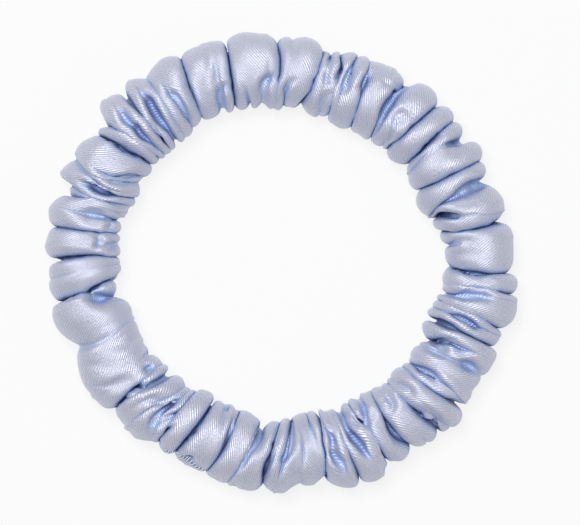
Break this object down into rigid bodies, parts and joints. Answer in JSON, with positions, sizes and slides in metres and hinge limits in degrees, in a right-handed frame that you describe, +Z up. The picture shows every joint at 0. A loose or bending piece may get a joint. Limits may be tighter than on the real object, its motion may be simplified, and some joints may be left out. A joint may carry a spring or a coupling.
{
  "type": "scrunchie",
  "caption": "Thin gathered satin hair tie: a ruffled cloth tube on a loop of flat elastic, which stretches to hold hair.",
  "frame": {"origin": "middle of the ring, on the surface that it lies on", "axes": "+Z up through the ring, +X along the stretch, +Y towards the back of the ring; the sewn-up gap is at the front left"},
  "size_m": [0.0836, 0.0836, 0.0131],
  "materials": {
    "satin": "satin",
    "elastic": "matte",
    "thread": "matte"
  },
  "bodies": {
    "left": {"satin_cover_left": "satin", "elastic_band": "elastic", "long_seam_thread": "thread"},
    "gathers_1": {"satin_cover_back_1": "satin", "satin_cover_front_1": "satin", "closing_stitches": "thread", "elastic_join_stitches": "thread"},
    "gathers_2": {"satin_cover_back_2": "satin", "satin_cover_front_2": "satin", "cross_seam_thread": "thread"},
    "gathers_3": {"satin_cover_back_3": "satin", "satin_cover_front_3": "satin"},
    "gathers_4": {"satin_cover_back_4": "satin", "satin_cover_front_4": "satin"},
    "right": {"satin_cover_right": "satin"}
  },
  "joints": [
    {"name": "stretch", "type": "slide", "parent": "left", "child": "right", "axis": [1, 0, 0], "range_m": [0, 0.06], "stiffness_N_per_m": 60, "deforming": ["elastic_band", "long_seam_thread"]},
    {"name": "gathers_1_slide", "type": "slide", "parent": "left", "child": "gathers_1", "axis": [1, 0, 0], "range_m": [0, 0.00913]},
    {"name": "gathers_2_slide", "type": "slide", "parent": "left", "child": "gathers_2", "axis": [1, 0, 0], "range_m": [0, 0.02215]},
    {"name": "gathers_3_slide", "type": "slide", "parent": "left", "child": "gathers_3", "axis": [1, 0, 0], "range_m": [0, 0.03787]},
    {"name": "gathers_4_slide", "type": "slide", "parent": "left", "child": "gathers_4", "axis": [1, 0, 0], "range_m": [0, 0.05089]}
  ],
  "couplings": [
    {"joint": "gathers_1_slide", "follows": "stretch", "ratio": 0.152},
    {"joint": "gathers_2_slide", "follows": "stretch", "ratio": 0.369},
    {"joint": "gathers_3_slide", "follows": "stretch", "ratio": 0.631},
    {"joint": "gathers_4_slide", "follows": "stretch", "ratio": 0.848}
  ]
}
